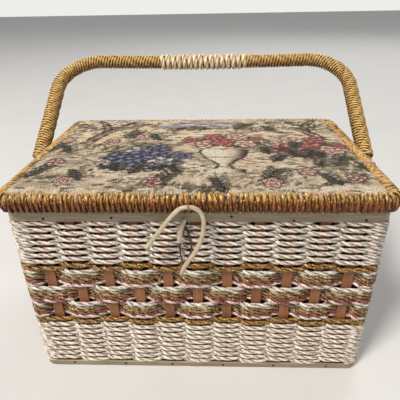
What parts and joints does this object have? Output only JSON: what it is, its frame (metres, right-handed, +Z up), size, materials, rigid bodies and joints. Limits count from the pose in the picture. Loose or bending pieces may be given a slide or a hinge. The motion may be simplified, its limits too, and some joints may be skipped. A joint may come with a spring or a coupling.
{
  "type": "sewing basket",
  "caption": "Rectangular woven sewing basket with wooden slats and bands, a padded fabric lid that opens at the back, a cord-wound swinging handle and a loop-and-peg closure.",
  "frame": {"origin": "centre of the underside, on the surface that the basket stands on", "axes": "+X to the right along the front, +Y towards the back where the lid is hinged, +Z up"},
  "size_m": [0.3674, 0.2772, 0.2675],
  "materials": {
    "painted_wood": "satin",
    "bare_wood": "matte",
    "slat_wood": "matte",
    "board": "matte",
    "cream_cord": "matte",
    "gold_cord": "satin",
    "rose_cord": "matte",
    "sage_cord": "matte",
    "tapestry": "matte",
    "lining": "matte",
    "wire": "satin",
    "dark_wood": "satin",
    "cream_vinyl": "satin",
    "dark_string": "matte"
  },
  "bodies": {
    "basket": {"base_panel": "board", "bottom_band": "painted_wood", "top_band": "painted_wood", "top_inner_hoop": "bare_wood", "weave_white_upper": "cream_cord", "weave_gold_upper": "gold_cord", "weave_colour_upper": "rose_cord", "weave_colour_middle": "sage_cord", "weave_colour_lower": "rose_cord", "weave_gold_lower": "gold_cord", "weave_white_lower": "cream_cord", "pivot_left": "dark_wood", "pivot_right": "dark_wood", "hinge_ring_left": "wire", "hinge_ring_right": "wire", "toggle_peg": "cream_vinyl", "toggle_string": "dark_string", "slat_front_01": "slat_wood", "slat_front_02": "slat_wood", "slat_front_03": "slat_wood", "slat_front_04": "slat_wood", "slat_front_05": "slat_wood", "slat_front_06": "slat_wood", "slat_front_07": "slat_wood", "slat_front_08": "slat_wood", "slat_front_09": "slat_wood", "slat_front_10": "slat_wood", "slat_front_11": "slat_wood", "slat_back_01": "slat_wood", "slat_back_02": "slat_wood", "slat_back_03": "slat_wood", "slat_back_04": "slat_wood", "slat_back_05": "slat_wood", "slat_back_06": "slat_wood", "slat_back_07": "slat_wood", "slat_back_08": "slat_wood", "slat_back_09": "slat_wood", "slat_back_10": "slat_wood", "slat_back_11": "slat_wood", "slat_left_01": "slat_wood", "slat_left_02": "slat_wood", "slat_left_03": "slat_wood", "slat_left_04": "slat_wood", "slat_left_05": "slat_wood", "slat_left_06": "slat_wood", "slat_right_01": "slat_wood", "slat_right_02": "slat_wood", "slat_right_03": "slat_wood", "slat_right_04": "slat_wood", "slat_right_05": "slat_wood", "slat_right_06": "slat_wood"},
    "handle": {"handle_core": "bare_wood", "handle_winding": "gold_cord", "handle_centre_wrap": "cream_cord"},
    "lid": {"lid_rim": "gold_cord", "lid_board": "board", "lid_pad": "tapestry", "lid_lining": "lining", "closure_tie": "wire"},
    "closure": {"closure_loop": "cream_vinyl"}
  },
  "joints": [
    {"name": "lid_hinge", "type": "hinge", "parent": "basket", "child": "lid", "pos_m": [0, 0.108, 0.17585], "axis": [-1, 0, 0], "range_deg": [0, 84]},
    {"name": "handle_swing", "type": "hinge", "parent": "basket", "child": "handle", "pos_m": [0, 0, 0.1706], "axis": [-1, 0, 0], "range_deg": [-188.8, 71.2]},
    {"name": "closure_swing", "type": "hinge", "parent": "lid", "child": "closure", "pos_m": [-0.005, -0.11985, 0.1855], "axis": [-1, 0, 0], "range_deg": [0, 170]}
  ]
}
